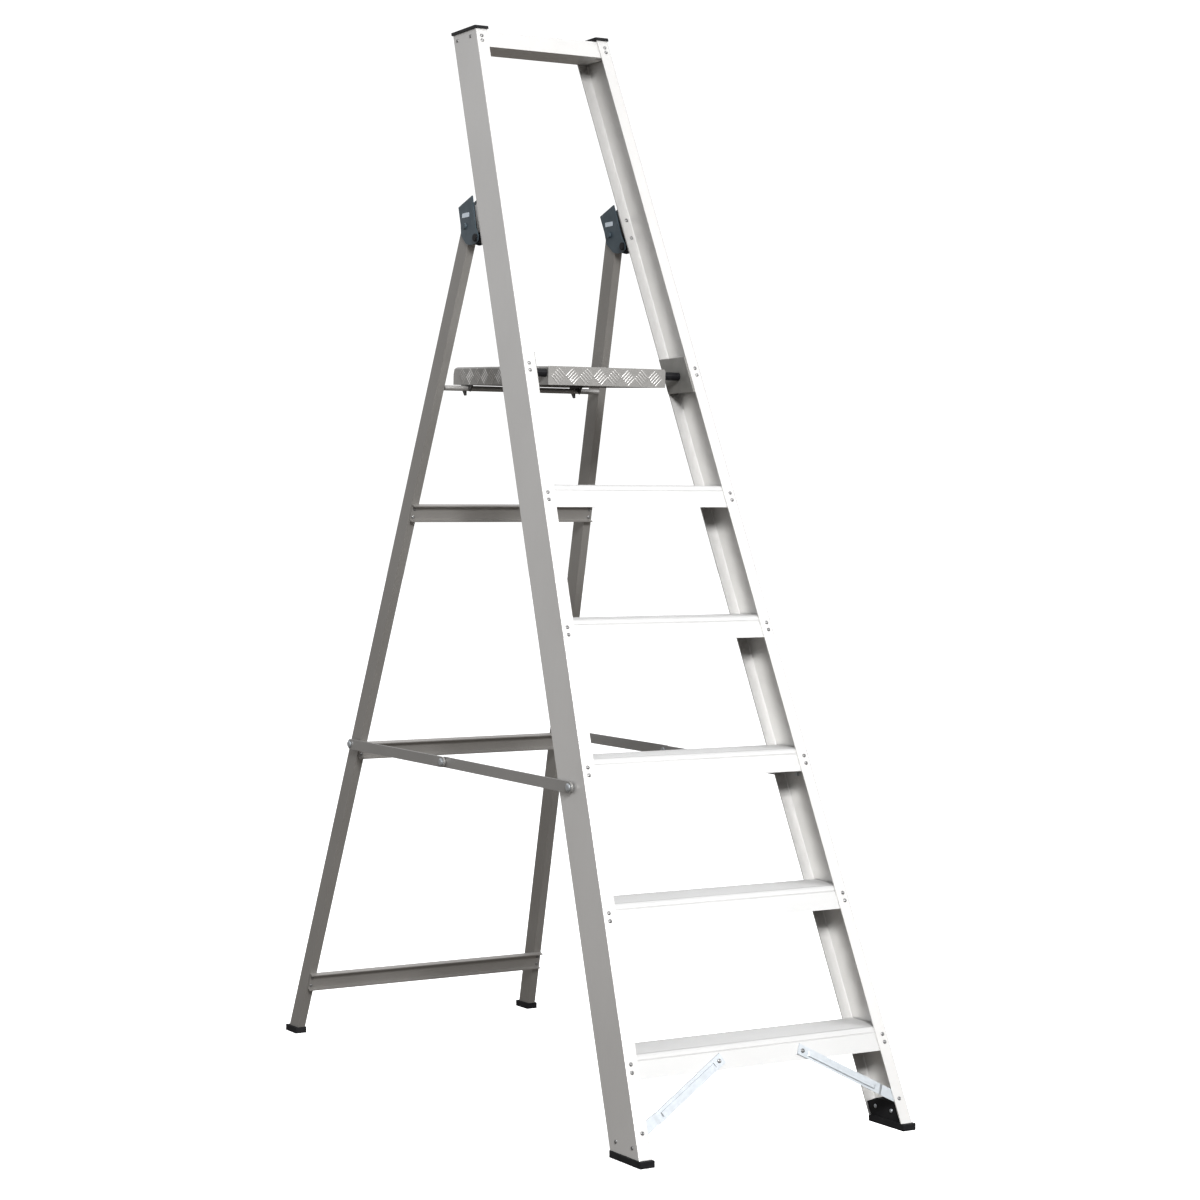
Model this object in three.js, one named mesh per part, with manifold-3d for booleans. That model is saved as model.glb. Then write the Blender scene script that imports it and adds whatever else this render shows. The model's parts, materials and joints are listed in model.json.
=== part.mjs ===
// Folding aluminium platform step ladder. Millimetres, +Z up.
// X runs across the treads, Y from the front stiles back to the rear frame, the floor is z = 0.
import * as THREE from 'three';
import { mergeVertices } from 'three/addons/utils/BufferGeometryUtils.js';
import Module from 'manifold-3d';

// Front frame: tapered stiles that lean back. Section sizes are taken level with the floor.
const STILE_HALF = 290;
const STILE_TAPER = 0.0662;
const STILE_LEAN = 0.407;
const STILE_DEPTH = 101;
const STILE_FLANGE = 25;
const STILE_WEB = 2.6;
const STILE_WALL = 2.8;
const STILE_TOP = 2091;
const CAP_THICK = 6;

// Treads: the middle of the first front lip, the rise, and the lip itself.
const TREAD_COUNT = 5;
const FIRST_TREAD = 159;
const TREAD_RISE = 249;
const TREAD_HALF_LIP = 21;
const TREAD_WALL = 2.8;
const TREAD_RIBS = 13;

// Handrail at the top of the loop.
const RAIL_BOTTOM = 2054;
const RAIL_TOP = 2088;
const RAIL_WALL = 2.4;

// Feet.
const FRONT_SOLE = 12;
const FRONT_TONGUE = 46;
const REAR_SOLE = 13;

// Rear frame: tapered tube legs that lean forward.
const LEG_HALF = 294.6;
const LEG_TAPER = 0.0705;
const LEG_LEAN = 0.3656;
const LEG_FRONT = 1446.6;
const LEG_DEPTH = 44;
const LEG_WIDTH = 17;
const LEG_WALL = 1.8;
const LEG_TOP = 1712;
const REAR_RAILS = { upper: [1113, 1146], middle: [616, 649], lower: [102, 137] };
const REAR_RAIL_DEPTH = 12;
const REAR_RAIL_WALL = 2.2;

// Hinge between the frames.
const HINGE = { y: 801, z: 1668.5 };
const HINGE_PIN = 4;
const HINGE_CAP = 8;
const HINGE_PLATE = 2.6;
const HINGE_BRACKET = 2.6;
const HINGE_BLOCK = 9;
const LEG_BOLT = { y: 850, z: 1696 };

// Platform, its pivot and the bar that carries its rear end.
const PIVOT = { y: 608, z: 1393.5 };
const PIVOT_BOLT = 4;
const PLATFORM_HALF = 131.5;
const PLATFORM_LENGTH = 401;
const PLATFORM_AHEAD = 11.6;
const PLATFORM_ABOVE = 13;
const PLATFORM_LIP = 36;
const PLATFORM_WALL = 2.6;
const PLATFORM_SLOPE = 0.05;
const BRACKET_SPAN = [1361, 1431];
const SUPPORT_BAR = { y: 944, z: 1380, r: 5.5 };

// Stays: front pivot, middle pivot and rear pivot, with their planes out from the centre.
const STAY_FRONT = { y: 305, z: 626 };
const STAY_MIDDLE = { y: 805, z: 636 };
const STAY_REAR = { y: 1234, z: 643 };
const STAY_WIDTH = 21;
const STAY_THICK = 4;
const STAY_INNER_PLANE = 251.6;
const STAY_OUTER_PLANE = 257;
const STAY_BOLT = 3.5;

// Braces from the first tread down to the stiles.
const BRACE_TREAD = { x: 89, z: 154 };
const BRACE_STILE = { x: 272, z: 55 };
const BRACE_WIDTH = 19;
const BRACE_THICK = 1.8;

const GAP = 0.3;
const REARMOST = LEG_FRONT + LEG_DEPTH + 5;
const FRONTMOST = -3;
const MIDDLE_Y = (REARMOST + FRONTMOST) / 2;
const SIDES = [['left', -1], ['right', 1]];

const wasm = await Module();
wasm.setup();

function welded(geometry) {
  const bare = geometry.clone();
  bare.deleteAttribute('normal');
  bare.deleteAttribute('uv');
  return mergeVertices(bare, 1e-4);
}

function toManifold(geometry) {
  const merged = welded(geometry);
  const mesh = new wasm.Mesh({
    numProp: 3,
    vertProperties: new Float32Array(merged.attributes.position.array),
    triVerts: new Uint32Array(merged.index.array),
  });
  return new wasm.Manifold(mesh);
}

function fromManifold(solid) {
  const mesh = solid.getMesh();
  const geometry = new THREE.BufferGeometry();
  geometry.setAttribute('position', new THREE.BufferAttribute(new Float32Array(mesh.vertProperties), 3));
  geometry.setIndex(new THREE.BufferAttribute(new Uint32Array(mesh.triVerts), 1));
  return geometry;
}

function union(...geometries) {
  return fromManifold(geometries.map(toManifold).reduce((a, b) => a.add(b)));
}

function cut(geometry, ...tools) {
  return fromManifold(tools.map(toManifold).reduce((a, b) => a.subtract(b), toManifold(geometry)));
}

// Outline in X and Y, carried up from z0 to z1.
function column(outline, z0, z1, holes = []) {
  return extrude(outline, z1 - z0, holes).translate(0, 0, z0);
}

// Outline in Y and Z, carried across from x0 to x1.
function across(outline, x0, x1, holes = []) {
  const basis = new THREE.Matrix4().makeBasis(
    new THREE.Vector3(0, 1, 0), new THREE.Vector3(0, 0, 1), new THREE.Vector3(1, 0, 0));
  return extrude(outline, x1 - x0, holes).applyMatrix4(basis).translate(x0, 0, 0);
}

// Outline in X and Z, carried back from y0 to y1.
function back(outline, y0, y1, holes = []) {
  const basis = new THREE.Matrix4().makeBasis(
    new THREE.Vector3(1, 0, 0), new THREE.Vector3(0, 0, 1), new THREE.Vector3(0, -1, 0));
  return extrude(outline, y1 - y0, holes).applyMatrix4(basis).translate(0, y1, 0);
}

function extrude(outline, depth, holes) {
  const shape = outline instanceof THREE.Shape ? outline : polygon(outline);
  shape.holes.push(...holes);
  return new THREE.ExtrudeGeometry(shape, { depth, bevelEnabled: false, curveSegments: 8 });
}

function polygon(points) {
  const corners = points.map(([a, b]) => new THREE.Vector2(a, b));
  return new THREE.Shape(THREE.ShapeUtils.isClockWise(corners) ? corners.reverse() : corners);
}

function roundHole(a, b, radius) {
  return new THREE.Path().absarc(a, b, radius, 0, Math.PI * 2, true);
}

function rectangle(a0, b0, a1, b1) {
  return [[a0, b0], [a1, b0], [a1, b1], [a0, b1]];
}

function rectangularHole(a0, b0, a1, b1) {
  return new THREE.Path(rectangle(a0, b0, a1, b1).reverse().map(([a, b]) => new THREE.Vector2(a, b)));
}

// A turned piece on an axis along X: [x, radius] steps from one end to the other.
function turned(steps, y, z, segments = 20) {
  const parts = [];
  for (let i = 0; i + 1 < steps.length; i += 1) {
    const [x0, r0] = steps[i];
    const [x1, r1] = steps[i + 1];
    if (x1 - x0 > 1e-6) {
      const piece = new THREE.CylinderGeometry(r1, r0, x1 - x0, segments, 1);
      parts.push(piece.rotateZ(-Math.PI / 2).translate((x0 + x1) / 2, 0, 0));
    }
  }
  const solid = parts.length > 1 ? union(...parts) : parts[0];
  return solid.translate(0, y, z);
}

// Slants a piece drawn upright at the floor so that it follows a stile or a leg on the right.
function follow(geometry, taper, lean) {
  const slant = new THREE.Matrix4().set(1, 0, -taper, 0, 0, 1, lean, 0, 0, 0, 1, 0, 0, 0, 0, 1);
  return geometry.applyMatrix4(slant);
}

const onStile = (geometry) => follow(geometry, STILE_TAPER, STILE_LEAN);
const onLeg = (geometry) => follow(geometry, LEG_TAPER, -LEG_LEAN);
const stileHalf = (z) => STILE_HALF - STILE_TAPER * z;
const legHalf = (z) => LEG_HALF - LEG_TAPER * z;

function mirrored(geometry) {
  const flipped = welded(geometry).scale(-1, 1, 1);
  const index = flipped.index.array;
  for (let i = 0; i < index.length; i += 3) {
    [index[i + 1], index[i + 2]] = [index[i + 2], index[i + 1]];
  }
  return flipped;
}

function stile() {
  const inner = STILE_HALF - STILE_FLANGE;
  const face = STILE_HALF - STILE_WEB;
  const rear = STILE_DEPTH;
  const t = STILE_WALL;
  const section = [
    [inner, 0], [STILE_HALF - 2.2, 0], [STILE_HALF - 0.6, 0.6], [STILE_HALF, 2.2],
    [STILE_HALF, rear - 2.2], [STILE_HALF - 0.6, rear - 0.6], [STILE_HALF - 2.2, rear], [inner, rear],
    [inner, rear - t], [face - 1.6, rear - t], [face, rear - t - 1.6],
    [face, t + 1.6], [face - 1.6, t], [inner, t],
  ];
  const body = onStile(column(section, FRONT_SOLE + GAP, STILE_TOP));
  const x = stileHalf(STAY_FRONT.z);
  return cut(body, turned([[x - 12, STAY_BOLT + 0.3], [x + 12, STAY_BOLT + 0.3]], STAY_FRONT.y, STAY_FRONT.z));
}

function tread(level) {
  const z = FIRST_TREAD + level * TREAD_RISE;
  const top = z + TREAD_HALF_LIP;
  const low = z - TREAD_HALF_LIP;
  const front = STILE_WALL + GAP;
  const rear = STILE_DEPTH - STILE_WALL - GAP;
  const t = TREAD_WALL;
  const outline = [[front, low], [front, top - 11.5], [front + 0.9, top - 11], [front + 0.9, top - 10],
    [front, top - 9.5], [front, top - 4], [front + 1.2, top - 1.2], [front + 4, top]];
  const pitch = (rear - front - 14) / TREAD_RIBS;
  for (let i = 0; i < TREAD_RIBS; i += 1) {
    const y = front + 7 + i * pitch;
    outline.push([y, top], [y + 0.8, top - 1.6], [y + 2.4, top - 1.6], [y + 3.2, top]);
  }
  outline.push([rear - 3, top], [rear, top - 3], [rear, low + 8], [rear - t, low + 8],
    [rear - t, top - 1.6 - t], [front + t, top - 1.6 - t], [front + t, low]);
  const half = stileHalf(top) - STILE_WEB - 1.9;
  return follow(across(outline, -half, half), 0, STILE_LEAN);
}

function topRail() {
  const front = STILE_WALL + GAP;
  const rear = STILE_DEPTH - STILE_WALL - GAP;
  const w = RAIL_WALL;
  const outline = rectangle(front, RAIL_BOTTOM, rear, RAIL_TOP);
  const hollow = rectangularHole(front + w, RAIL_BOTTOM + w, rear - w, RAIL_TOP - w);
  const half = stileHalf(RAIL_TOP) - STILE_WEB - 1.9;
  return follow(across(outline, -half, half, [hollow]), 0, STILE_LEAN);
}

function topCap() {
  const o = 2.5;
  const plate = column([
    [STILE_HALF - STILE_FLANGE - o, -o], [STILE_HALF + o - 1.5, -o], [STILE_HALF + o, 1.5 - o],
    [STILE_HALF + o, STILE_DEPTH + o - 1.5], [STILE_HALF + o - 1.5, STILE_DEPTH + o],
    [STILE_HALF - STILE_FLANGE - o, STILE_DEPTH + o],
  ], STILE_TOP + GAP, STILE_TOP + GAP + CAP_THICK);
  const plug = column(rectangle(STILE_HALF - STILE_FLANGE + 4, RAIL_WALL + 12,
    STILE_HALF - STILE_WEB - 1, STILE_DEPTH - RAIL_WALL - 12), STILE_TOP - 1.5, STILE_TOP + 2);
  return onStile(union(plate, plug));
}

function frontFoot() {
  const o = 2;
  const base = column([
    [STILE_HALF - STILE_FLANGE - o, FRONTMOST], [STILE_HALF + o - 2, FRONTMOST],
    [STILE_HALF + o, FRONTMOST + 2], [STILE_HALF + o, STILE_DEPTH + 1],
    [STILE_HALF + o - 2, STILE_DEPTH + 3], [STILE_HALF - STILE_FLANGE - o, STILE_DEPTH + 3],
  ], 0, FRONT_SOLE);
  const tongue = onStile(column(rectangle(STILE_HALF - STILE_FLANGE + 3, STILE_WALL + BRACE_THICK + 2 * GAP,
    STILE_HALF - STILE_WEB - 1.9, STILE_DEPTH - STILE_WALL - GAP), FRONT_SOLE - 4, FRONT_TONGUE));
  const chamfer = onStile(across([[STILE_DEPTH - 40, FRONT_TONGUE + 1], [STILE_DEPTH + 5, FRONT_TONGUE - 14],
    [STILE_DEPTH + 5, FRONT_TONGUE + 1]], STILE_HALF - 40, STILE_HALF));
  return union(base, cut(tongue, chamfer));
}

// A pressed strip: in front of the tread lip at one end, stepped back behind the stile flange at the other.
function kneeBrace() {
  const dx = BRACE_STILE.x - BRACE_TREAD.x;
  const dz = BRACE_STILE.z - BRACE_TREAD.z;
  const length = Math.hypot(dx, dz);
  const t = BRACE_THICK;
  const ahead = STILE_WALL + GAP - t - 0.3;
  const behind = STILE_WALL + GAP;
  const step = length - 42;
  const run = [[-9, ahead], [step, ahead], [step + 6, behind], [length + 5, behind],
    [length + 5, behind + t], [step + 5.4, behind + t], [step - 0.6, ahead + t], [-9, ahead + t]];
  const strip = column(run, -BRACE_WIDTH / 2, BRACE_WIDTH / 2);
  const rib = column([[14, ahead - 1.8], [step - 12, ahead - 1.8], [step - 9, ahead + 0.4], [11, ahead + 0.4]],
    -4, 4);
  const brace = union(strip, rib);
  brace.rotateY(-Math.atan2(dz, dx));
  brace.translate(BRACE_TREAD.x, 0, BRACE_TREAD.z);
  return follow(brace, 0, STILE_LEAN);
}

// Angle riveted to the stile's rear flange: its web stands between the hinge plates, above the hinge block.
function hingeBracket() {
  const rear = STILE_DEPTH + GAP;
  const strip = onStile(column(rectangle(STILE_HALF - STILE_FLANGE + 1, rear, STILE_HALF - 1,
    rear + HINGE_BRACKET), HINGE.z - 16, HINGE.z + 68));
  const at = (behind, up) => {
    const z = HINGE.z + up;
    return [z * STILE_LEAN + rear + behind, z];
  };
  const outline = [at(1, 12), at(24, 12), at(18, 43), at(12, 66), at(1, 66)];
  const web = legHalf(HINGE.z) - LEG_WIDTH / 2 + 0.8;
  return union(strip, across(outline, web, web + HINGE_BRACKET));
}

// Block between the two hinge plates that carries the hinge pin.
function hingeBlock() {
  const edge = HINGE.z * STILE_LEAN + STILE_DEPTH + HINGE_BRACKET + 2 * GAP;
  const middle = legHalf(HINGE.z) - LEG_WIDTH / 2;
  const ear = new THREE.Shape();
  ear.moveTo(edge - HINGE_BLOCK * STILE_LEAN, HINGE.z - HINGE_BLOCK);
  ear.lineTo(HINGE.y, HINGE.z - HINGE_BLOCK);
  ear.absarc(HINGE.y, HINGE.z, HINGE_BLOCK, -Math.PI / 2, Math.PI / 2, false);
  ear.lineTo(edge + HINGE_BLOCK * STILE_LEAN, HINGE.z + HINGE_BLOCK);
  const hole = roundHole(HINGE.y, HINGE.z, HINGE_PIN + 0.2);
  return across(ear, middle - 6.5, middle + 6.5, [hole]);
}

function hingePin() {
  const half = legHalf(HINGE.z);
  const outer = half + GAP + HINGE_PLATE + 0.8;
  const inner = half - LEG_WIDTH - GAP - HINGE_PLATE - 0.8;
  const cap = (x0, x1, r0, r1) => turned([[x0, r0], [x1, r1]], HINGE.y, HINGE.z);
  return union(
    cap(inner - 4, inner - 3, HINGE_CAP - 1.2, HINGE_CAP),
    cap(inner - 3.01, inner, HINGE_CAP, HINGE_CAP),
    cap(inner - 1, outer + 1, HINGE_PIN, HINGE_PIN),
    cap(outer, outer + 3.01, HINGE_CAP, HINGE_CAP),
    cap(outer + 3, outer + 4, HINGE_CAP, HINGE_CAP - 1.2));
}

// Plate on one face of the leg's head. It is drawn at the floor and slanted with the leg.
function hingePlate(outer) {
  const at = (y, z) => [y + LEG_LEAN * z, z];
  const outline = [at(829, 1755), at(886, 1737), at(872, 1702), at(867, 1679), at(843, 1660), at(826, 1656),
    at(806, 1657), at(795, 1662), at(794, 1672), at(807, 1690), at(818, 1722)];
  const x = outer ? LEG_HALF + GAP : LEG_HALF - LEG_WIDTH - GAP - HINGE_PLATE;
  const plate = onLeg(across(outline, x, x + HINGE_PLATE));
  const bore = (p, r) => turned([[140, r], [190, r]], p.y, p.z);
  return cut(plate, bore(HINGE, HINGE_PIN + 0.3), bore(LEG_BOLT, 4.4));
}

function legBolt() {
  const half = legHalf(LEG_BOLT.z);
  const outer = half + GAP + HINGE_PLATE + 0.7;
  const inner = half - LEG_WIDTH - GAP - HINGE_PLATE - 0.7;
  return union(
    turned([[inner - 4, 6.5], [inner, 6.5]], LEG_BOLT.y, LEG_BOLT.z, 6),
    turned([[inner - 1, 4], [outer + 1, 4]], LEG_BOLT.y, LEG_BOLT.z),
    turned([[outer, 7], [outer + 2.5, 5]], LEG_BOLT.y, LEG_BOLT.z));
}

function rearLeg() {
  const outline = rectangle(LEG_HALF - LEG_WIDTH, LEG_FRONT, LEG_HALF, LEG_FRONT + LEG_DEPTH);
  const w = LEG_WALL;
  const hollow = rectangularHole(LEG_HALF - LEG_WIDTH + w, LEG_FRONT + w,
    LEG_HALF - w, LEG_FRONT + LEG_DEPTH - w);
  const tube = onLeg(column(outline, REAR_SOLE + GAP, LEG_TOP, [hollow]));
  const bore = (p, r) => {
    const x = legHalf(p.z);
    return turned([[x - 30, r], [x + 12, r]], p.y, p.z);
  };
  return cut(tube, bore(LEG_BOLT, 4.4), bore(STAY_REAR, STAY_BOLT + 0.3));
}

function rearFoot() {
  const base = column([
    [LEG_HALF - LEG_WIDTH - 4, LEG_FRONT - 5], [LEG_HALF + 4, LEG_FRONT - 5],
    [LEG_HALF + 4, REARMOST], [LEG_HALF - LEG_WIDTH - 4, REARMOST]], 0, REAR_SOLE);
  const w = LEG_WALL + GAP;
  const plug = onLeg(column(rectangle(LEG_HALF - LEG_WIDTH + w, LEG_FRONT + w,
    LEG_HALF - w, LEG_FRONT + LEG_DEPTH - w), REAR_SOLE - 3, REAR_SOLE + 30));
  return union(base, plug);
}

// Shallow channel riveted across the front faces of the legs.
// Channel square to the legs, its web on their front faces and its flanges pointing forward.
function rearRail([low, high]) {
  const slant = Math.hypot(1, LEG_LEAN);
  const at = (ahead, up) => [
    LEG_FRONT - LEG_LEAN * low - (ahead + LEG_LEAN * up) / slant,
    low + (up - LEG_LEAN * ahead) / slant];
  const tall = (high - low) * slant;
  const t = REAR_RAIL_WALL;
  const d = REAR_RAIL_DEPTH;
  const outline = [at(GAP, 0), at(GAP, tall), at(d, tall), at(d, tall - t), at(GAP + t, tall - t),
    at(GAP + t, t), at(d, t), at(d, 0)];
  const half = legHalf(high) - 1;
  return across(outline, -half, half);
}

function supportBar() {
  const half = legHalf(SUPPORT_BAR.z) - LEG_WIDTH - 0.8;
  return turned([[-half, SUPPORT_BAR.r], [half, SUPPORT_BAR.r]], SUPPORT_BAR.y, SUPPORT_BAR.z);
}

// Channel set into the mouth of the stile to take the platform pivot.
function platformBracket() {
  const mouth = STILE_HALF - STILE_FLANGE - GAP;
  const front = STILE_WALL + GAP;
  const rear = STILE_DEPTH - STILE_WALL - GAP;
  const t = 2.4;
  const section = [[mouth - t, front], [mouth + 20, front], [mouth + 20, front + t], [mouth, front + t],
    [mouth, rear - t], [mouth + 20, rear - t], [mouth + 20, rear], [mouth - t, rear]];
  const body = onStile(column(section, BRACKET_SPAN[0], BRACKET_SPAN[1]));
  return cut(body, turned([[140, PIVOT_BOLT + 0.3], [195, PIVOT_BOLT + 0.3]], PIVOT.y, PIVOT.z));
}

function platformBolt() {
  const mouth = stileHalf(PIVOT.z) - STILE_FLANGE;
  return union(
    turned([[PLATFORM_HALF - PLATFORM_WALL - 5, 6.3], [PLATFORM_HALF - PLATFORM_WALL - 0.4, 6.3]],
      PIVOT.y, PIVOT.z, 6),
    turned([[PLATFORM_HALF - PLATFORM_WALL - 1, PIVOT_BOLT], [mouth + 2, PIVOT_BOLT]], PIVOT.y, PIVOT.z),
    turned([[mouth + 1.4, 6.5], [mouth + 6, 6.5]], PIVOT.y, PIVOT.z, 6));
}

function platformSpacer() {
  const x0 = PLATFORM_HALF + 0.5;
  const x1 = stileHalf(PIVOT.z) - STILE_FLANGE - 4.6;
  const ring = new THREE.Shape().absarc(PIVOT.y, PIVOT.z, 8, 0, Math.PI * 2, false);
  return across(ring, x0, x1, [roundHole(PIVOT.y, PIVOT.z, PIVOT_BOLT + 0.3)]);
}

// Deck sheet with its four edges folded down.
function platformDeck() {
  const y0 = -PLATFORM_AHEAD;
  const y1 = PLATFORM_LENGTH - PLATFORM_AHEAD;
  const top = PLATFORM_ABOVE;
  const low = top - PLATFORM_LIP;
  const t = PLATFORM_WALL;
  const w = PLATFORM_HALF;
  const r = 5;
  const outer = new THREE.Shape();
  outer.moveTo(-w, low).lineTo(w, low).lineTo(w, top - r);
  outer.absarc(w - r, top - r, r, 0, Math.PI / 2, false);
  outer.absarc(-w + r, top - r, r, Math.PI / 2, Math.PI, false);
  const shell = back(outer, y0, y1);
  const inside = back(rectangle(-w + t, low - 1, w - t, top - t), y0 + t, y1 - t);
  const bores = turned([[-w - 5, PIVOT_BOLT + 0.3], [w + 5, PIVOT_BOLT + 0.3]], 0, 0);
  const noseCut = [[y1 - 14, top + 1], [y1 + 1, top + 1], [y1 + 1, top - 14], [y1, top - 14],
    [y1 - 4, top - 4]];
  const deck = cut(shell, inside, bores, across(noseCut, -w - 5, w + 5));
  return deck.rotateX(Math.atan(PLATFORM_SLOPE)).translate(0, PIVOT.y, PIVOT.z);
}

// Plate on the platform's side that drops over the support bar.
function platformHook() {
  const { y, z, r } = SUPPORT_BAR;
  const outline = [[y - 26, z + 16], [y - 26, z + 9], [y - 12, z - 8], [y - 4, z - 14], [y + 12, z - 14],
    [y + 18, z - 6], [y + 26, z + 9], [y + 26, z + 18]];
  const x0 = PLATFORM_HALF - PLATFORM_WALL - 0.3 - 3;
  const plate = across(outline, x0, x0 + 3);
  const seat = turned([[x0 - 2, r + 0.5], [x0 + 6, r + 0.5]], y, z);
  const mouth = across([[y + r + 0.5, z], [y - r - 0.5, z], [y - 34, z - 30], [y + r + 0.5, z - 30]],
    x0 - 2, x0 + 6);
  return cut(plate, seat, mouth);
}

function stayLink(from, to, x) {
  const length = Math.hypot(to.y - from.y, to.z - from.z);
  const r = STAY_WIDTH / 2;
  const bar = new THREE.Shape();
  bar.absarc(0, 0, r, Math.PI / 2, Math.PI * 1.5, false);
  bar.absarc(length, 0, r, -Math.PI / 2, Math.PI / 2, false);
  const holes = [roundHole(0, 0, STAY_BOLT + 0.3), roundHole(length, 0, STAY_BOLT + 0.3)];
  const link = across(bar, x, x + STAY_THICK, holes);
  link.rotateX(Math.atan2(to.z - from.z, to.y - from.y));
  return link.translate(0, from.y, from.z);
}

function stayBolt(point, inside, outside) {
  return union(
    turned([[inside, STAY_BOLT], [outside + 1, STAY_BOLT]], point.y, point.z),
    turned([[outside, 7.5], [outside + 2, 7.5]], point.y, point.z),
    turned([[outside + 1.99, 7.5], [outside + 3.4, 5.5]], point.y, point.z));
}

// Rivet end of the middle pivot on the inside of the front link.
function stayNut() {
  const x = STAY_INNER_PLANE;
  return union(
    turned([[x - 3.5, 6.5], [x - 0.3, 6.5]], STAY_MIDDLE.y, STAY_MIDDLE.z),
    turned([[x - 1, STAY_BOLT], [x + STAY_THICK - 0.2, STAY_BOLT]], STAY_MIDDLE.y, STAY_MIDDLE.z));
}

const MATERIALS = {
  aluminium: { color: 0xc9cbcc, roughness: 0.38, metalness: 0.9 },
  rearAluminium: { color: 0xa9a7a2, roughness: 0.42, metalness: 0.9 },
  deck: { color: 0xb7b6b2, roughness: 0.35, metalness: 0.92 },
  zinc: { color: 0xb9c3cc, roughness: 0.34, metalness: 0.85 },
  hingeSteel: { color: 0x4a555c, roughness: 0.5, metalness: 0.6 },
  bracketSteel: { color: 0x74726e, roughness: 0.55, metalness: 0.5 },
  darkSteel: { color: 0x2b2b2c, roughness: 0.55, metalness: 0.5 },
  rubber: { color: 0x17181a, roughness: 0.85, metalness: 0 },
  plastic: { color: 0x121315, roughness: 0.5, metalness: 0 },
};

const ladder = new THREE.Group();
ladder.name = 'step_ladder';

function add(name, geometry, material) {
  const shifted = geometry.translate(0, -MIDDLE_Y, 0);
  shifted.computeVertexNormals();
  const mesh = new THREE.Mesh(shifted, new THREE.MeshStandardMaterial(MATERIALS[material]));
  mesh.name = name;
  ladder.add(mesh);
}

function addPair(name, make, material) {
  for (const [side, sign] of SIDES) {
    const geometry = make();
    add(`${name}_${side}`, sign < 0 ? mirrored(geometry) : geometry, material);
  }
}

addPair('stile', stile, 'aluminium');
for (let i = 0; i < TREAD_COUNT; i += 1) add(`tread_${i + 1}`, tread(i), 'aluminium');
add('top_rail', topRail(), 'aluminium');
addPair('top_cap', topCap, 'plastic');
addPair('front_foot', frontFoot, 'rubber');
addPair('knee_brace', kneeBrace, 'zinc');
addPair('hinge_bracket', hingeBracket, 'aluminium');
addPair('hinge_block', hingeBlock, 'plastic');
addPair('hinge_pin', hingePin, 'plastic');
addPair('platform_bracket', platformBracket, 'bracketSteel');
addPair('platform_bolt', platformBolt, 'zinc');
addPair('platform_spacer', platformSpacer, 'plastic');
addPair('stay_front_bolt', () => stayBolt(STAY_FRONT, stileHalf(STAY_FRONT.z) - 8,
  STAY_INNER_PLANE + STAY_THICK + GAP), 'zinc');

addPair('rear_leg', rearLeg, 'rearAluminium');
addPair('rear_foot', rearFoot, 'rubber');
for (const [level, span] of Object.entries(REAR_RAILS)) add(`rear_rail_${level}`, rearRail(span), 'rearAluminium');
add('support_bar', supportBar(), 'rearAluminium');
addPair('hinge_plate_outer', () => hingePlate(true), 'hingeSteel');
addPair('hinge_plate_inner', () => hingePlate(false), 'hingeSteel');
addPair('leg_bolt', legBolt, 'hingeSteel');
addPair('stay_rear_bolt', () => stayBolt(STAY_REAR, legHalf(STAY_REAR.z) - LEG_WIDTH - 2,
  STAY_OUTER_PLANE + STAY_THICK + GAP), 'zinc');

add('platform_deck', platformDeck(), 'deck');
addPair('platform_hook', platformHook, 'darkSteel');

addPair('stay_front_link', () => stayLink(STAY_FRONT, STAY_MIDDLE, STAY_INNER_PLANE), 'rearAluminium');
addPair('stay_rear_link', () => stayLink(STAY_MIDDLE, STAY_REAR, STAY_OUTER_PLANE), 'rearAluminium');
addPair('stay_mid_bolt', () => stayBolt(STAY_MIDDLE, STAY_OUTER_PLANE + 0.2,
  STAY_OUTER_PLANE + STAY_THICK + GAP), 'zinc');
addPair('stay_mid_nut', stayNut, 'zinc');

export default ladder;
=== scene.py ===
"""Looks for the platform step ladder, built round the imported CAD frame."""
import json
import math

import bmesh
import bpy
from mathutils import Matrix, Vector


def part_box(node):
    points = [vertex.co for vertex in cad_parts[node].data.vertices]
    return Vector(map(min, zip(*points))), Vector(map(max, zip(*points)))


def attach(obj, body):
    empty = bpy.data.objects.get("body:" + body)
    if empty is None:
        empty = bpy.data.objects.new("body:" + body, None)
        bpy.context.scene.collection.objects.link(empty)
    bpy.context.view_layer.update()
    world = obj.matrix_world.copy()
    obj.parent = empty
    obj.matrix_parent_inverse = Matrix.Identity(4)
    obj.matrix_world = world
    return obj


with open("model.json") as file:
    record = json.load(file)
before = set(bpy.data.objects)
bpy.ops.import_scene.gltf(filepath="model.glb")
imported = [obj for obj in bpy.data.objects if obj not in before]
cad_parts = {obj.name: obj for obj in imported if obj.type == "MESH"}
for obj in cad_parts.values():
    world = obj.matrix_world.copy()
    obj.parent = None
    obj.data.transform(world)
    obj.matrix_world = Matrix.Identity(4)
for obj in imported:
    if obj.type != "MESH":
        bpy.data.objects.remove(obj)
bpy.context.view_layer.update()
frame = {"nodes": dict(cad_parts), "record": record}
MM = 0.001

# ---------------------------------------------------------------- sizes taken from the frame
NODES = frame["nodes"]
STILE_LEAN = 0.407
STILE_TAPER = 0.0662
STILE_DEPTH = 101 * MM
STILE_WALL = 2.8 * MM
STILE_RIVET_INSET = 11 * MM
EDGE_RADIUS = 0.45 * MM
EDGE_ANGLE = 35
LEG_LEAN = 0.3656
LEG_TAPER = 0.0705
LEG_WIDTH = 17 * MM
LEG_DEPTH = 44 * MM
TREADS = [f"tread_{i}" for i in range(1, 6)]
SIDES = (("left", -1), ("right", 1))

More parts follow.
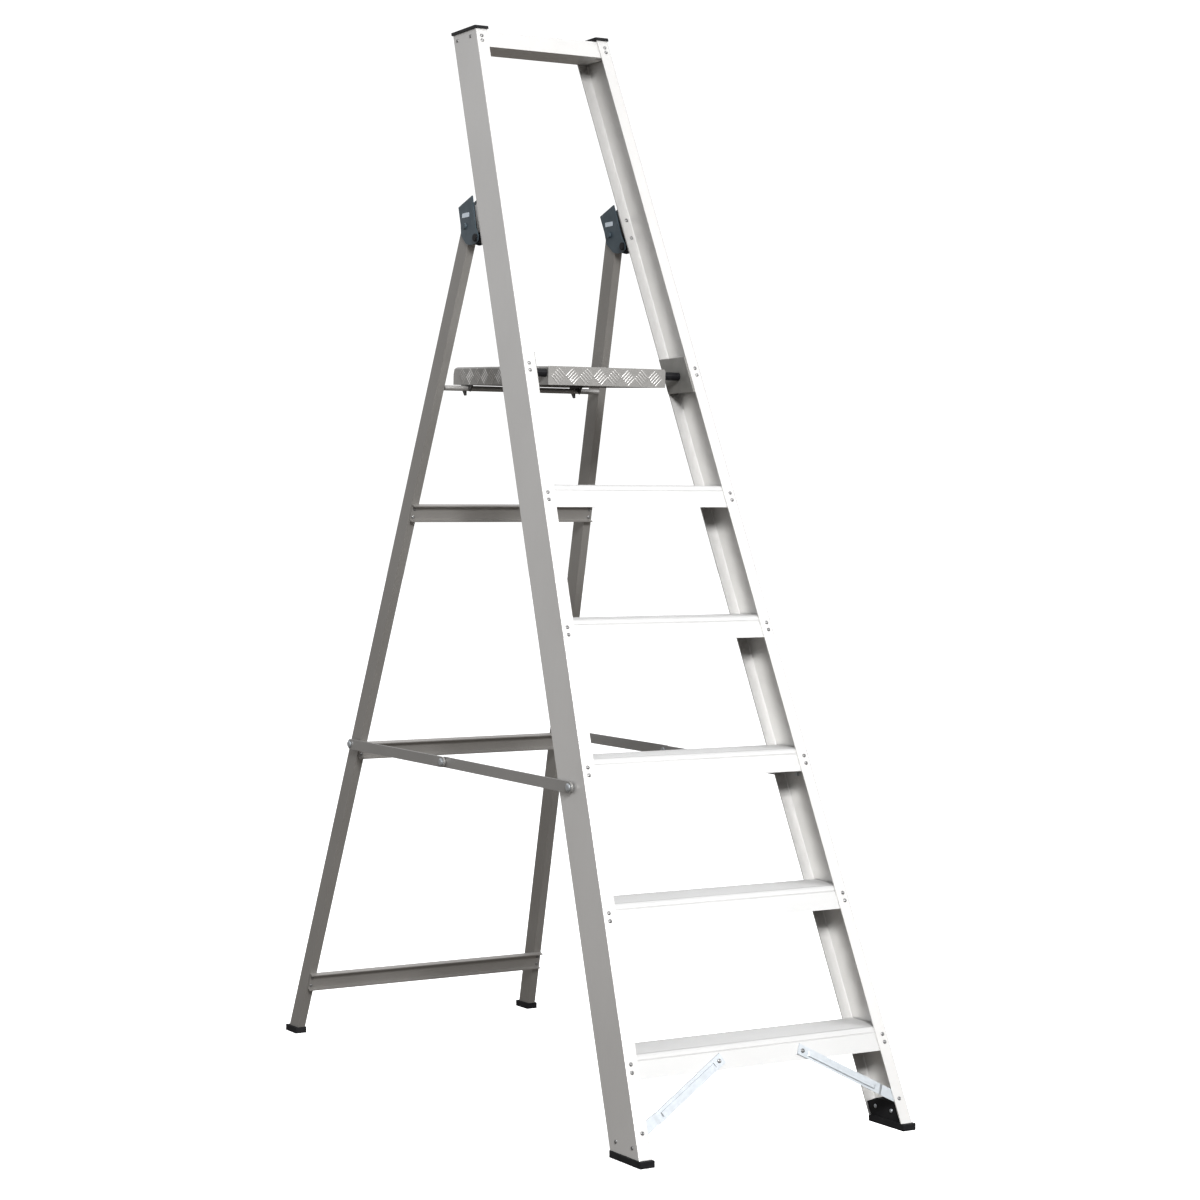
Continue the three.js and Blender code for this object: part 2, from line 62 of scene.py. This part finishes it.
stile_low, stile_high = (Vector(c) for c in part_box("stile_right"))
STILE_HALF = stile_high.x + STILE_TAPER * stile_low.z
STILE_FRONT = stile_low.y - STILE_LEAN * stile_low.z
leg_low, leg_high = (Vector(c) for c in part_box("rear_leg_right"))
LEG_HALF = leg_high.x + LEG_TAPER * leg_low.z
LEG_REAR = leg_high.y + LEG_LEAN * leg_low.z
LEG_FRONT = LEG_REAR - LEG_DEPTH
FRONT_NORMAL = Vector((0, -1, STILE_LEAN)).normalized()
LEG_NORMAL = Vector((0, -1, -LEG_LEAN)).normalized()


def on_stile(side, z, inset, depth):
    """A point on a stile: inset in from its outer face, depth back from its front face."""
    return Vector((side * (STILE_HALF - STILE_TAPER * z - inset), STILE_FRONT + STILE_LEAN * z + depth, z))


def on_leg(side, z, inset, depth):
    return Vector((side * (LEG_HALF - LEG_TAPER * z - inset), LEG_FRONT - LEG_LEAN * z + depth, z))


# ---------------------------------------------------------------- materials
def new_material(name):
    material = bpy.data.materials.new(name)
    material.use_nodes = True
    tree = material.node_tree
    return material, tree, tree.nodes["Principled BSDF"]


def noise(tree, scale, stretch=(1, 1, 1), detail=4.0, roughness=0.55):
    coords = tree.nodes.new("ShaderNodeTexCoord")
    mapping = tree.nodes.new("ShaderNodeMapping")
    mapping.inputs["Scale"].default_value = stretch
    texture = tree.nodes.new("ShaderNodeTexNoise")
    texture.inputs["Scale"].default_value = scale
    texture.inputs["Detail"].default_value = detail
    texture.inputs["Roughness"].default_value = roughness
    tree.links.new(coords.outputs["Object"], mapping.inputs["Vector"])
    tree.links.new(mapping.outputs["Vector"], texture.inputs["Vector"])
    return texture.outputs["Fac"]


def ramp(tree, source, low, high, start=0.3, end=0.7):
    node = tree.nodes.new("ShaderNodeValToRGB")
    node.color_ramp.elements[0].position = start
    node.color_ramp.elements[0].color = (*low, 1)
    node.color_ramp.elements[1].position = end
    node.color_ramp.elements[1].color = (*high, 1)
    tree.links.new(source, node.inputs["Fac"])
    return node.outputs["Color"]


def spread(tree, source, low, high):
    node = tree.nodes.new("ShaderNodeMapRange")
    node.inputs["To Min"].default_value = low
    node.inputs["To Max"].default_value = high
    tree.links.new(source, node.inputs["Value"])
    return node.outputs["Result"]


def bump(tree, shader, height, strength, distance):
    node = tree.nodes.new("ShaderNodeBump")
    node.inputs["Strength"].default_value = strength
    node.inputs["Distance"].default_value = distance
    tree.links.new(height, node.inputs["Height"])
    tree.links.new(node.outputs["Normal"], shader.inputs["Normal"])


def extruded_aluminium(name, low, high, stretch, rough=(0.38, 0.54), metallic=0.6):
    """Drawn aluminium: fine die lines along the length, soft blotches and dull handling marks."""
    material, tree, shader = new_material(name)
    shader.inputs["Metallic"].default_value = metallic
    blotches = ramp(tree, noise(tree, 3.0, detail=6), low, high, 0.25, 0.75)
    tree.links.new(blotches, shader.inputs["Base Color"])
    lines = noise(tree, 60.0, stretch, detail=8, roughness=0.7)
    tree.links.new(spread(tree, lines, *rough), shader.inputs["Roughness"])
    bump(tree, shader, lines, 0.12, 0.0004)
    return material


def zinc_plate(name, low, high):
    material, tree, shader = new_material(name)
    shader.inputs["Metallic"].default_value = 0.85
    tree.links.new(ramp(tree, noise(tree, 90.0, detail=3), low, high), shader.inputs["Base Color"])
    tree.links.new(spread(tree, noise(tree, 240.0), 0.28, 0.44), shader.inputs["Roughness"])
    bump(tree, shader, noise(tree, 500.0), 0.08, 0.0002)
    return material


def painted_steel(name, low, high, rough=(0.36, 0.5)):
    material, tree, shader = new_material(name)
    shader.inputs["Metallic"].default_value = 0.35
    tree.links.new(ramp(tree, noise(tree, 40.0), low, high), shader.inputs["Base Color"])
    tree.links.new(spread(tree, noise(tree, 160.0), *rough), shader.inputs["Roughness"])
    bump(tree, shader, noise(tree, 700.0, detail=2), 0.15, 0.0003)
    return material


def black_polymer(name, low, high, rough, grain):
    material, tree, shader = new_material(name)
    shader.inputs["Specular IOR Level"].default_value = 0.12
    tree.links.new(ramp(tree, noise(tree, 30.0), low, high), shader.inputs["Base Color"])
    tree.links.new(spread(tree, noise(tree, 120.0), *rough), shader.inputs["Roughness"])
    bump(tree, shader, noise(tree, grain, detail=3), 0.25, 0.0004)
    return material


ALONG_STILE = (1.0, 1.0, 0.02)
ALONG_TREAD = (0.02, 1.0, 1.0)
MATERIALS = {
    "stile_aluminium": extruded_aluminium("stile_aluminium", (0.50, 0.495, 0.485), (0.56, 0.555, 0.545),
                                          ALONG_STILE),
    "tread_aluminium": extruded_aluminium("tread_aluminium", (0.46, 0.46, 0.455), (0.53, 0.53, 0.525),
                                          ALONG_TREAD),
    # rear_aluminium is the stiles' aluminium painted darker: painted shade for the rear frame, which stands
    # further back from the lights.
    "rear_aluminium": extruded_aluminium("rear_aluminium", (0.22, 0.211, 0.199), (0.27, 0.261, 0.248),
                                         ALONG_STILE),
    # The rear rails get the same aluminium painted darker again: painted shade on the rails.
    "rail_painted_shade": extruded_aluminium("rail_painted_shade", (0.24, 0.231, 0.219), (0.30, 0.290, 0.277),
                                         ALONG_TREAD),
    # deck_aluminium is the tread aluminium painted darker: painted shade on the platform plate between its
    # raised bars.
    "deck_aluminium": extruded_aluminium("deck_aluminium", (0.27, 0.265, 0.255), (0.36, 0.354, 0.342),
                                         (1, 1, 1), (0.3, 0.48)),
    # The raised bars are painted lighter than the plate they stand on: a painted glint on the bars.
    "deck_bars_painted_glint": extruded_aluminium("deck_bars_painted_glint", (0.52, 0.512, 0.50), (0.64, 0.63, 0.615), (1, 1, 1),
                                    (0.26, 0.4)),
    "stay_steel": extruded_aluminium("stay_steel", (0.24, 0.235, 0.228), (0.30, 0.295, 0.287),
                                     (1.0, 0.02, 1.0)),
    "zinc_steel": zinc_plate("zinc_steel", (0.41, 0.438, 0.462), (0.47, 0.50, 0.525)),
    # rivet_metal is a darker copy of the zinc plate: partly the heads' own steel and partly painted shade
    # for the shadow round each head.
    "rivet_metal": zinc_plate("rivet_metal", (0.15, 0.15, 0.15), (0.26, 0.26, 0.26)),
    "hinge_steel": painted_steel("hinge_steel", (0.035, 0.052, 0.066), (0.055, 0.076, 0.092)),
    "grey_bracket": painted_steel("grey_bracket", (0.17, 0.168, 0.158), (0.21, 0.207, 0.196)),
    "dark_steel": painted_steel("dark_steel", (0.030, 0.029, 0.028), (0.050, 0.048, 0.046)),
    "label_plate": painted_steel("label_plate", (0.47, 0.53, 0.59), (0.53, 0.59, 0.65), (0.3, 0.42)),
    "black_rubber": black_polymer("black_rubber", (0.006, 0.006, 0.007), (0.013, 0.013, 0.014),
                                  (0.6, 0.8), 300.0),
    "black_plastic": black_polymer("black_plastic", (0.005, 0.005, 0.006), (0.010, 0.010, 0.011),
                                   (0.35, 0.5), 500.0),
}


def finish_cad_nodes():
    """Puts the node materials and a small edge radius on every solid of the frame."""
    slots = {s["node"]: s["material_slot"] for s in frame["record"]["subparts"]}
    for name, obj in NODES.items():
        look = slots[name]
        # the rear rails take the darker aluminium copy, which is painted shade
        if name.startswith("rear_rail"):
            look = "rail_painted_shade"
        obj.data.materials.clear()
        obj.data.materials.append(MATERIALS[look])
        edge = obj.modifiers.new("edges", "BEVEL")
        edge.width = EDGE_RADIUS
        edge.segments = 2
        edge.limit_method = "ANGLE"
        edge.angle_limit = math.radians(EDGE_ANGLE)


# ---------------------------------------------------------------- pieces
def mesh_piece(name, mesh, material, body):
    obj = bpy.data.objects.new(name, mesh)
    bpy.context.scene.collection.objects.link(obj)
    mesh.materials.append(MATERIALS[material])
    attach(obj, body)
    return obj


def frame_along(normal):
    """A rotation that turns +Z to the normal."""
    return Vector((0, 0, 1)).rotation_difference(normal).to_matrix().to_4x4()


def lathe(bm, profile, place, steps=16):
    """Adds a turned solid: profile is (radius, height), and starts and ends on the axis."""
    rings = []
    for radius, height in profile:
        if radius == 0:
            rings.append([bm.verts.new(place @ Vector((0, 0, height)))])
            continue
        ring = []
        for i in range(steps):
            a = 2 * math.pi * i / steps
            ring.append(bm.verts.new(place @ Vector((radius * math.cos(a), radius * math.sin(a), height))))
        rings.append(ring)
    for low, high in zip(rings, rings[1:]):
        for i in range(steps):
            j = (i + 1) % steps
            if len(low) == 1:
                bm.faces.new((low[0], high[j], high[i]))
            elif len(high) == 1:
                bm.faces.new((low[i], low[j], high[0]))
            else:
                bm.faces.new((low[i], low[j], high[j], high[i]))


RIVET_PROFILE = [(0, -0.0006), (1.0, -0.0006), (1.0, 0.15), (0.85, 0.36), (0.55, 0.47), (0.3, 0.5),
                 (0.26, 0.42), (0, 0.40)]


def rivets(name, spots, body, radius=3.7 * MM, material="rivet_metal"):
    """Domed blind rivets with a dimple; spots is a list of (point, outward normal)."""
    bm = bmesh.new()
    profile = [(r * radius, h * radius) for r, h in RIVET_PROFILE]
    for point, normal in spots:
        lathe(bm, profile, Matrix.Translation(point) @ frame_along(normal))
    bmesh.ops.recalc_face_normals(bm, faces=bm.faces)
    mesh = bpy.data.meshes.new(name)
    bm.to_mesh(mesh)
    bm.free()
    for polygon in mesh.polygons:
        polygon.use_smooth = True
    return mesh_piece(name, mesh, material, body)


def tread_mid(name):
    low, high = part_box(name)
    return (low[2] + high[2]) / 2


RIVET_PAIR = 6.8 * MM
TOP_RAIL_RIVETS = 2071 * MM
PLATFORM_RIVETS = 1402 * MM
HINGE_RIVETS = (1684 * MM, 1721 * MM)
HINGE_RIVET_INSET = 12 * MM
BRACE_TREAD = (89 * MM, 154 * MM)
BRACE_STILE_HEIGHT = 55 * MM
BRACE_THICK_OUT = 0.9 * MM
TOP_PAIR = 5 * MM
CAP_RIVET_HEIGHT = 2078 * MM
CAP_RIVET_DEPTHS = (27 * MM, 84 * MM)
SHOE_RIVET_HEIGHT = 30 * MM
SHOE_RIVET_DEPTHS = (18 * MM, 74 * MM)
TONGUE_INSET = 22 * MM
TONGUE_RIVET_DEPTHS = (26 * MM, 74 * MM)
LARGE_RIVET = 4 * MM


def pairs(side, levels, gap, depth, normal):
    """Two rivets at each level, one above the other, on the stile's front or rear flange."""
    heights = [z + dz for z in levels for dz in (-gap, gap)]
    return [(on_stile(side, z, STILE_RIVET_INSET, depth), normal) for z in heights]


def stile_rivets():
    levels = [tread_mid(t) for t in TREADS]
    for word, side in SIDES:
        front = pairs(side, levels + [PLATFORM_RIVETS], RIVET_PAIR, 0, FRONT_NORMAL)
        front += pairs(side, [TOP_RAIL_RIVETS], TOP_PAIR, 0, FRONT_NORMAL)
        front.append((on_stile(side, BRACE_STILE_HEIGHT, STILE_RIVET_INSET + 3 * MM, 0), FRONT_NORMAL))
        rivets(f"stile_front_rivets_{word}", front, "front_frame")
        rear = pairs(side, levels, RIVET_PAIR, STILE_DEPTH, -FRONT_NORMAL)
        rivets(f"stile_rear_rivets_{word}", rear, "front_frame")
        outward = Vector((side, 0, 0))
        web = [(on_stile(side, CAP_RIVET_HEIGHT, 0, d), outward) for d in CAP_RIVET_DEPTHS]
        web += [(on_stile(side, SHOE_RIVET_HEIGHT, 0, d), outward) for d in SHOE_RIVET_DEPTHS]
        rivets(f"stile_web_rivets_{word}", web, "front_frame")
        tongue = [(on_stile(side, SHOE_RIVET_HEIGHT, TONGUE_INSET, d), -outward)
                  for d in TONGUE_RIVET_DEPTHS]
        rivets(f"foot_rivets_{word}", tongue, "front_frame", LARGE_RIVET, "zinc_steel")
        behind = STILE_DEPTH - STILE_WALL
        hinge = [(on_stile(side, z, HINGE_RIVET_INSET, behind), FRONT_NORMAL) for z in HINGE_RIVETS]
        rivets(f"hinge_rivets_{word}", hinge, "front_frame", LARGE_RIVET)
        x, z = BRACE_TREAD
        brace = [(Vector((side * x, STILE_FRONT + STILE_LEAN * z + BRACE_THICK_OUT, z)), FRONT_NORMAL)]
        rivets(f"brace_rivet_{word}", brace, "front_frame", LARGE_RIVET)


RAIL_WEB = 2.5 * MM
RAIL_RIVET_SHARES = (0.3, 0.74)
RAIL_RIVET = 3.6 * MM


def rail_rivets():
    for level in ("upper", "middle", "lower"):
        low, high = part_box(f"rear_rail_{level}")
        spots = []
        for _, side in SIDES:
            for share in RAIL_RIVET_SHARES:
                z = low[2] + (high[2] - low[2]) * share
                spots.append((on_leg(side, z, LEG_WIDTH / 2, 0) + LEG_NORMAL * RAIL_WEB, LEG_NORMAL))
        rivets(f"rail_rivets_{level}", spots, "rear_frame", RAIL_RIVET)


BAR_LENGTH = 25 * MM
BAR_WIDTH = 2.9 * MM
BAR_HEIGHT = 0.9 * MM
BAR_PITCH = 5.4 * MM
GROUP_PITCH = 32.5 * MM


def bar(bm, place):
    """One raised lozenge of the tread-plate pattern, rounded along its back."""
    half = BAR_LENGTH / 2
    w = BAR_WIDTH / 2
    stations = ((-half, 0.12, 0.1), (-half * 0.7, 0.8, 0.7), (-half * 0.3, 1, 1), (half * 0.3, 1, 1),
                (half * 0.7, 0.8, 0.7), (half, 0.12, 0.1))
    rows = []
    for x, width, height in stations:
        rows.append([bm.verts.new(place @ Vector((x, s * w * width, h * BAR_HEIGHT * height)))
                     for s, h in ((-1, -0.1), (-0.5, 0.8), (0, 1), (0.5, 0.8), (1, -0.1))])
    for a, b in zip(rows, rows[1:]):
        for i in range(4):
            bm.faces.new((a[i], b[i], b[i + 1], a[i + 1]))
        bm.faces.new((a[4], b[4], b[0], a[0]))
    bm.faces.new(rows[0][::-1])
    bm.faces.new(rows[-1])


def five_bar_sheet(bm, place, width, length, bars=5):
    """Groups of parallel bars that turn by a right angle from one group to the next."""
    across = max(1, round(width / GROUP_PITCH))
    along = max(1, round(length / GROUP_PITCH))
    for i in range(across):
        for j in range(along):
            turn = math.radians(45 if (i + j) % 2 else -45)
            centre = Matrix.Translation(((i + 0.5) * width / across - width / 2,
                                         (j + 0.5) * length / along - length / 2, 0))
            for k in range(bars):
                offset = (k - (bars - 1) / 2) * BAR_PITCH
                bar(bm, place @ centre @ Matrix.Rotation(turn, 4, "Z") @ Matrix.Translation((0, offset, 0)))


PIVOT = Vector((0, 608 * MM + STILE_FRONT, 1393.5 * MM))
DECK_SLOPE = math.atan(0.05)
DECK_AHEAD = 11.6 * MM
DECK_LENGTH = 401 * MM
DECK_ABOVE = 13 * MM
DECK_HALF = 131.5 * MM
DECK_LIP = 36 * MM
DECK_LIP_GAP = 1 * MM
TOP_MARGINS = (24 * MM, 30 * MM)
END_MARGIN = 16 * MM
FLANK_MARGIN = 50 * MM


def platform_pattern():
    local = Matrix.Translation(PIVOT) @ Matrix.Rotation(DECK_SLOPE, 4, "X")
    bm = bmesh.new()
    middle = DECK_LENGTH / 2 - DECK_AHEAD
    top = Matrix.Translation((0, middle, DECK_ABOVE))
    five_bar_sheet(bm, local @ top, 2 * DECK_HALF - TOP_MARGINS[0], DECK_LENGTH - TOP_MARGINS[1])
    drop = DECK_ABOVE - DECK_LIP / 2 - DECK_LIP_GAP
    front = Matrix.Translation((0, -DECK_AHEAD, drop)) @ Matrix.Rotation(math.pi / 2, 4, "X")
    five_bar_sheet(bm, local @ front, 2 * DECK_HALF - END_MARGIN, DECK_LIP)
    rear = Matrix.Translation((0, DECK_LENGTH - DECK_AHEAD, drop)) @ Matrix.Rotation(-math.pi / 2, 4, "X")
    five_bar_sheet(bm, local @ rear, 2 * DECK_HALF - END_MARGIN, DECK_LIP)
    for _, side in SIDES:
        turn = Matrix.Rotation(side * math.pi / 2, 4, "Y")
        flank = Matrix.Translation((side * DECK_HALF, middle, drop)) @ turn
        five_bar_sheet(bm, local @ flank, DECK_LIP, DECK_LENGTH - FLANK_MARGIN)
    bmesh.ops.recalc_face_normals(bm, faces=bm.faces)
    mesh = bpy.data.meshes.new("platform_pattern")
    bm.to_mesh(mesh)
    bm.free()
    for polygon in mesh.polygons:
        polygon.use_smooth = True
    # the bars carry the lighter copy of the deck aluminium, which is a painted glint
    mesh_piece("platform_pattern", mesh, "deck_bars_painted_glint", "platform")


def rounded_slab(name, width, height, thick, radius, place, material, body, slot):
    """A thin plate with rounded corners, drawn flat and put in place."""
    bm = bmesh.new()
    corners = []
    for cx, cy, start in ((1, 1, 0), (-1, 1, 90), (-1, -1, 180), (1, -1, 270)):
        for step in range(5):
            a = math.radians(start + step * 22.5)
            corners.append((cx * (width / 2 - radius) + radius * math.cos(a),
                            cy * (height / 2 - radius) + radius * math.sin(a)))
    low = [bm.verts.new(place @ Vector((x, y, 0))) for x, y in corners]
    high = [bm.verts.new(place @ Vector((x, y, thick))) for x, y in corners]
    bm.faces.new(low[::-1])
    bm.faces.new(high)
    for i in range(len(low)):
        j = (i + 1) % len(low)
        bm.faces.new((low[i], low[j], high[j], high[i]))
    mesh = bpy.data.meshes.new(name)
    bm.to_mesh(mesh)
    bm.free()
    return mesh_piece(name, mesh, material, body)


MARK_HEIGHT = 1718 * MM
MARK_BEHIND = 33 * MM
MARK_PROUD = 2.95 * MM
MARK_SIZE = (29 * MM, 9 * MM)
MARK_THICK = 0.5 * MM
MARK_RADIUS = 1.2 * MM


def hinge_plates_marks():
    """Blank pale plates on the hinge plates, where a maker would put a name."""
    z = MARK_HEIGHT
    y = LEG_FRONT - LEG_LEAN * z + MARK_BEHIND
    tilt = math.atan(LEG_TAPER)
    for word, side in SIDES:
        half = LEG_HALF - LEG_TAPER * z
        faces = (("outer", half + MARK_PROUD, 1), ("inner", half - LEG_WIDTH - MARK_PROUD, -1))
        for face, x, out in faces:
            normal = Vector((side * out, 0, 0))
            turn = Matrix(((0, 0, normal.x), (normal.x, 0, 0), (0, 1, 0))).to_4x4()
            lean = Matrix.Rotation(-side * tilt, 4, "Y")
            place = Matrix.Translation((side * x, y, z)) @ lean @ turn
            rounded_slab(f"hinge_mark_{face}_{word}", *MARK_SIZE, MARK_THICK, MARK_RADIUS, place,
                         "label_plate", "rear_frame", "zinc_steel")


finish_cad_nodes()
stile_rivets()
rail_rivets()
platform_pattern()
hinge_plates_marks()


# ---------------------------------------------------------------- stage, light and camera
FLOOR_DEPTH = -60 * MM
FLOOR_SIZE = 120
CAMERA_YAW = 30.083
CAMERA_PITCH = -1.424
CAMERA_ROLL = -0.247
CAMERA_PLACE = Vector((-2.5969, -3.8533 + STILE_FRONT, 1.0829))
CAMERA_LENS = 79.46


def stage_floor():
    """A white sweep that lights nothing itself, so the metal mirrors the studio and not the floor.

    It lies under the reach of the rear feet, which swing below the front feet as the frame folds.
    """
    bpy.ops.mesh.primitive_plane_add(size=FLOOR_SIZE, location=(0, 0, FLOOR_DEPTH))
    floor = bpy.context.object
    floor.name = "floor"
    floor.visible_diffuse = False
    floor.visible_glossy = False
    material, tree, shader = new_material("floor")
    shader.inputs["Base Color"].default_value = (0.9, 0.9, 0.9, 1)
    shader.inputs["Roughness"].default_value = 0.95
    shader.inputs["Specular IOR Level"].default_value = 0.0
    shader.inputs["Emission Color"].default_value = (1, 1, 1, 1)
    shader.inputs["Emission Strength"].default_value = 0.55
    floor.data.materials.append(material)


def area_light(name, place, target, size, power, colour=(1, 1, 1)):
    data = bpy.data.lights.new(name, "AREA")
    data.shape = "RECTANGLE"
    data.size, data.size_y = size
    data.energy = power
    data.color = colour
    light = bpy.data.objects.new(name, data)
    bpy.context.scene.collection.objects.link(light)
    light.location = place
    light.rotation_euler = (Vector(target) - Vector(place)).to_track_quat("-Z", "Y").to_euler()


SKY = ((0.0, (0.20, 0.185, 0.17)), (0.40, (0.23, 0.212, 0.195)), (0.48, (0.37, 0.352, 0.33)),
       (0.53, (0.54, 0.54, 0.54)), (0.62, (0.64, 0.64, 0.65)), (1.0, (1.1, 1.1, 1.12)))


def world_light():
    """A studio round the object: bright above, dim and warm below; the camera sees it plain white."""
    world = bpy.data.worlds.new("studio")
    bpy.context.scene.world = world
    world.use_nodes = True
    tree = world.node_tree
    seen = tree.nodes["Background"]
    seen.inputs["Color"].default_value = (1, 1, 1, 1)
    seen.inputs["Strength"].default_value = 1.1
    coords = tree.nodes.new("ShaderNodeTexCoord")
    parts = tree.nodes.new("ShaderNodeSeparateXYZ")
    tree.links.new(coords.outputs["Generated"], parts.inputs["Vector"])
    height = tree.nodes.new("ShaderNodeMapRange")
    height.inputs["From Min"].default_value = -1
    tree.links.new(parts.outputs["Z"], height.inputs["Value"])
    colours = tree.nodes.new("ShaderNodeValToRGB")
    elements = colours.color_ramp.elements
    while len(elements) < len(SKY):
        elements.new(0.5)
    for element, (place, colour) in zip(elements, SKY):
        element.position = place
        element.color = (*colour, 1)
    tree.links.new(height.outputs["Result"], colours.inputs["Fac"])
    studio = tree.nodes.new("ShaderNodeBackground")
    tree.links.new(colours.outputs["Color"], studio.inputs["Color"])
    path = tree.nodes.new("ShaderNodeLightPath")
    mix = tree.nodes.new("ShaderNodeMixShader")
    tree.links.new(path.outputs["Is Camera Ray"], mix.inputs["Fac"])
    tree.links.new(studio.outputs["Background"], mix.inputs[1])
    tree.links.new(seen.outputs["Background"], mix.inputs[2])
    tree.links.new(mix.outputs["Shader"], tree.nodes["World Output"].inputs["Surface"])


def make_camera():
    yaw, pitch, roll = (math.radians(a) for a in (CAMERA_YAW, CAMERA_PITCH, CAMERA_ROLL))
    forward = Vector((math.sin(yaw), math.cos(yaw), 0))
    right = Vector((math.cos(yaw), -math.sin(yaw), 0))
    up = Vector((0, 0, 1))
    ahead = forward * math.cos(pitch) + up * math.sin(pitch)
    above = up * math.cos(pitch) - forward * math.sin(pitch)
    across = right * math.cos(roll) + above * math.sin(roll)
    above = above * math.cos(roll) - right * math.sin(roll)
    data = bpy.data.cameras.new("camera")
    data.lens = CAMERA_LENS
    data.sensor_width = 36
    data.clip_end = 200
    camera = bpy.data.objects.new("camera", data)
    bpy.context.scene.collection.objects.link(camera)
    turn = Matrix((across, above, -ahead)).transposed()
    camera.matrix_world = Matrix.Translation(CAMERA_PLACE) @ turn.to_4x4()
    bpy.context.scene.camera = camera


stage_floor()
world_light()
area_light("front", (-2.0, -5.6, 3.9), (0, -0.2, 1.1), (1.4, 1.4), 640)
area_light("key", (2.6, -5.2, 4.2), (0, -0.2, 1.0), (3.0, 3.0), 90)
area_light("overhead", (0.6, 0.6, 4.6), (0, 0, 0.8), (3.0, 3.0), 40)
make_camera()
bpy.context.scene.view_settings.view_transform = "Standard"
